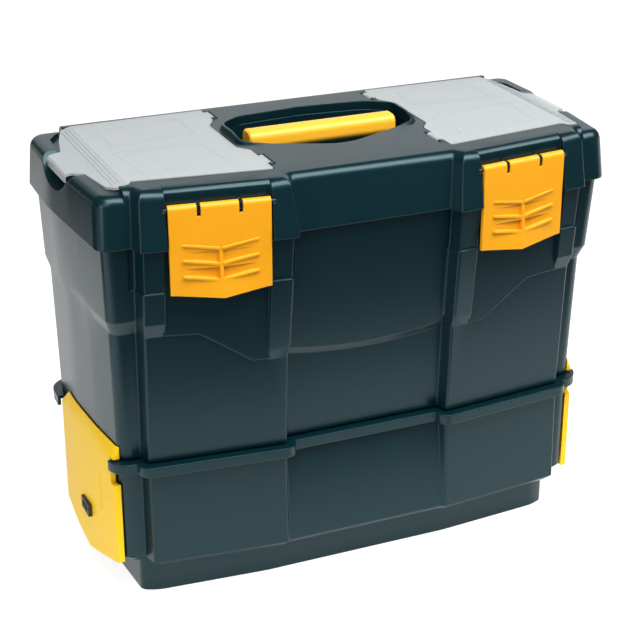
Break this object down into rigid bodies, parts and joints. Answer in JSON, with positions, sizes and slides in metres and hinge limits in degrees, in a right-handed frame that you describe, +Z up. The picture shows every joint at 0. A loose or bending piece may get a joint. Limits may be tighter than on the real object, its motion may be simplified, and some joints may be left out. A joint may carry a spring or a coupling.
{
  "type": "portable tool box with drawers",
  "caption": "Tall moulded tool box with a hinged lid, clear organizer covers, front latches, a bridge carry handle and a slide-out drawer at each end of its base.",
  "frame": {"origin": "on the floor under the middle of the foot, on the underside of its stiffening cross", "axes": "+Z up; +X to the right seen from the front, through the end of the right drawer; the latches face -Y"},
  "size_m": [0.4796, 0.2368, 0.384],
  "materials": {
    "dark_body": "semi-gloss moulded, very dark blue-green",
    "amber_grip": "semi-gloss moulded",
    "yellow_front": "semi-gloss moulded",
    "clear_cover": "milky translucent",
    "black_trim": "fine matt",
    "grey_inner": "fine matt",
    "steel": "plain"
  },
  "bodies": {
    "case": {"tub": "dark_body", "drawer_housing": "dark_body", "bay_bulkhead": "dark_body", "housing_screws": "steel", "lid_hinge_pins": "steel", "runner_right": "grey_inner", "runner_left": "grey_inner", "latch_catch_right": "dark_body", "latch_catch_left": "dark_body"},
    "lid": {"lid_shell": "dark_body", "recess_pan": "dark_body", "organizer_right": "dark_body", "organizer_left": "dark_body", "handle": "amber_grip", "handle_screws": "steel", "well_dividers_right": "dark_body", "well_dividers_left": "dark_body", "cover_pins_right": "steel", "cover_pins_left": "steel", "latch_pin_right": "black_trim", "latch_pin_left": "black_trim"},
    "cover_right": {"cover_right": "clear_cover"},
    "latch_right": {"latch_right": "amber_grip"},
    "drawer_right": {"drawer_tray_right": "grey_inner", "drawer_dividers_right": "grey_inner", "drawer_front_right": "yellow_front", "drawer_screws_right": "steel", "button_bezel_right": "black_trim", "button_spring_right": "steel"},
    "button_right": {"button_right": "black_trim"},
    "cover_left": {"cover_left": "clear_cover"},
    "latch_left": {"latch_left": "amber_grip"},
    "drawer_left": {"drawer_tray_left": "grey_inner", "drawer_dividers_left": "grey_inner", "drawer_front_left": "yellow_front", "drawer_screws_left": "steel", "button_bezel_left": "black_trim", "button_spring_left": "steel"},
    "button_left": {"button_left": "black_trim"}
  },
  "joints": [
    {"name": "lid_open", "type": "hinge", "parent": "case", "child": "lid", "pos_m": [0, 0.1165, 0.334], "axis": [-1, 0, 0], "range_deg": [0, 100]},
    {"name": "cover_right_open", "type": "hinge", "parent": "lid", "child": "cover_right", "pos_m": [0.077, 0, 0.3776], "axis": [0, -1, 0], "range_deg": [0, 105]},
    {"name": "latch_right_open", "type": "hinge", "parent": "lid", "child": "latch_right", "pos_m": [0.136, -0.10063, 0.3634], "axis": [-0.9917, -0.1288, 0], "range_deg": [0, 110]},
    {"name": "drawer_right_slide", "type": "slide", "parent": "case", "child": "drawer_right", "axis": [1, 0, 0], "range_m": [0, 0.17]},
    {"name": "button_right_press", "type": "slide", "parent": "drawer_right", "child": "button_right", "axis": [-1, 0, 0], "range_m": [0, 0.002], "stiffness_N_per_m": 400, "springref_m": -0.0015, "deforming": ["button_spring_right"]},
    {"name": "cover_left_open", "type": "hinge", "parent": "lid", "child": "cover_left", "pos_m": [-0.077, 0, 0.3776], "axis": [0, 1, 0], "range_deg": [0, 105]},
    {"name": "latch_left_open", "type": "hinge", "parent": "lid", "child": "latch_left", "pos_m": [-0.136, -0.10063, 0.3634], "axis": [-0.9917, 0.1288, 0], "range_deg": [0, 110]},
    {"name": "drawer_left_slide", "type": "slide", "parent": "case", "child": "drawer_left", "axis": [-1, 0, 0], "range_m": [0, 0.17]},
    {"name": "button_left_press", "type": "slide", "parent": "drawer_left", "child": "button_left", "axis": [1, 0, 0], "range_m": [0, 0.002], "stiffness_N_per_m": 400, "springref_m": -0.0015, "deforming": ["button_spring_left"]}
  ]
}
